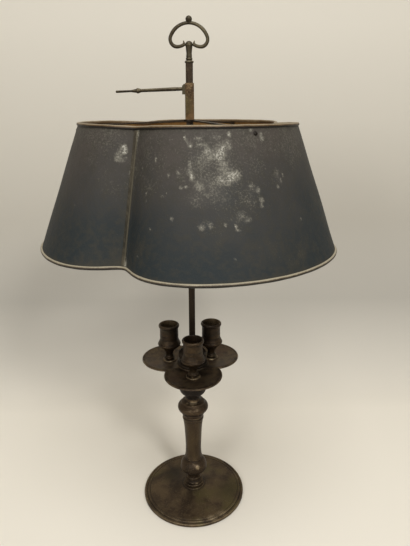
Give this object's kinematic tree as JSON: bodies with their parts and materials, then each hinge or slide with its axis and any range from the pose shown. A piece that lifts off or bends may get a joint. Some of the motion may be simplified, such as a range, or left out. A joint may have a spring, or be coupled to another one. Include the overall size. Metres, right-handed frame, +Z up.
{
  "type": "bouillotte lamp",
  "caption": "Candle lamp with a turned brass stem, trefoil drip tray, candle sockets, and a lobed painted shade that slides on a square rod and locks with a screw key.",
  "frame": {"origin": "on the floor, on the axis of the stem and rod", "axes": "+Z up along the rod, -Y to the front, the key points to -X"},
  "size_m": [0.3505, 0.3572, 0.6396],
  "materials": {
    "base_brass": "dark brown patinated brass, satin with worn olive tints",
    "stem_brass": "turned brass with dark brown patina, worn brighter on the rings",
    "tray_brass": "cast brass with nearly black patina, worn at the edges",
    "socket_brass": "turned brass, soot-dark patina",
    "hidden_steel": "dark steel fasteners",
    "rod_metal": "dark bar with brown patina",
    "handle_brass": "cast brass, grey-brown patina",
    "tube_brass": "rubbed brass with warm brown patina",
    "key_steel": "dark steel key with worn shank",
    "spider_metal": "dark iron strip",
    "tole": "charcoal blue painted sheet, matt, speckled with pale wear; ochre inside",
    "bead_metal": "wired edge with the paint rubbed through"
  },
  "bodies": {
    "lamp": {"base_plate": "base_brass", "base_washer": "hidden_steel", "base_nut": "hidden_steel", "tie_rod": "hidden_steel", "foot_collar": "stem_brass", "lower_knop": "stem_brass", "column": "stem_brass", "upper_knop": "stem_brass", "tray_cup": "stem_brass", "drip_tray": "tray_brass", "candle_socket_front": "socket_brass", "candle_socket_right": "socket_brass", "candle_socket_left": "socket_brass", "socket_nuts": "hidden_steel", "rod_hub": "tray_brass", "square_rod": "rod_metal", "handle": "handle_brass", "ball_finial": "handle_brass"},
    "shade": {"slide_tube": "tube_brass", "clamp_boss": "tube_brass", "spider_hub": "spider_metal", "spider_arm_front": "spider_metal", "spider_arm_back": "spider_metal", "spider_arm_left": "spider_metal", "arm_rivets": "spider_metal", "shade_panel_front": "tole", "shade_panel_back": "tole", "shade_panel_left": "tole", "seam_left": "tole", "seam_right": "tole", "seam_back": "tole", "top_bead": "bead_metal", "bottom_bead": "bead_metal"},
    "shoe": {"clamp_shoe": "tube_brass"},
    "key": {"arrow_key": "key_steel"}
  },
  "joints": [
    {"name": "shade_slide", "type": "slide", "parent": "lamp", "child": "shade", "axis": [0, 0, 1], "range_m": [-0.25, 0.018]},
    {"name": "shoe_travel", "type": "slide", "parent": "shade", "child": "shoe", "axis": [-1, 0, 0], "range_m": [0, 0.00045]},
    {"name": "key_turn", "type": "hinge", "parent": "shoe", "child": "key", "pos_m": [-0.00835, 0, 0.5645], "axis": [-1, 0, 0], "range_deg": [0, 230]}
  ],
  "couplings": [
    {"joint": "key_turn", "follows": "shoe_travel", "rad_per_m": 8920}
  ]
}
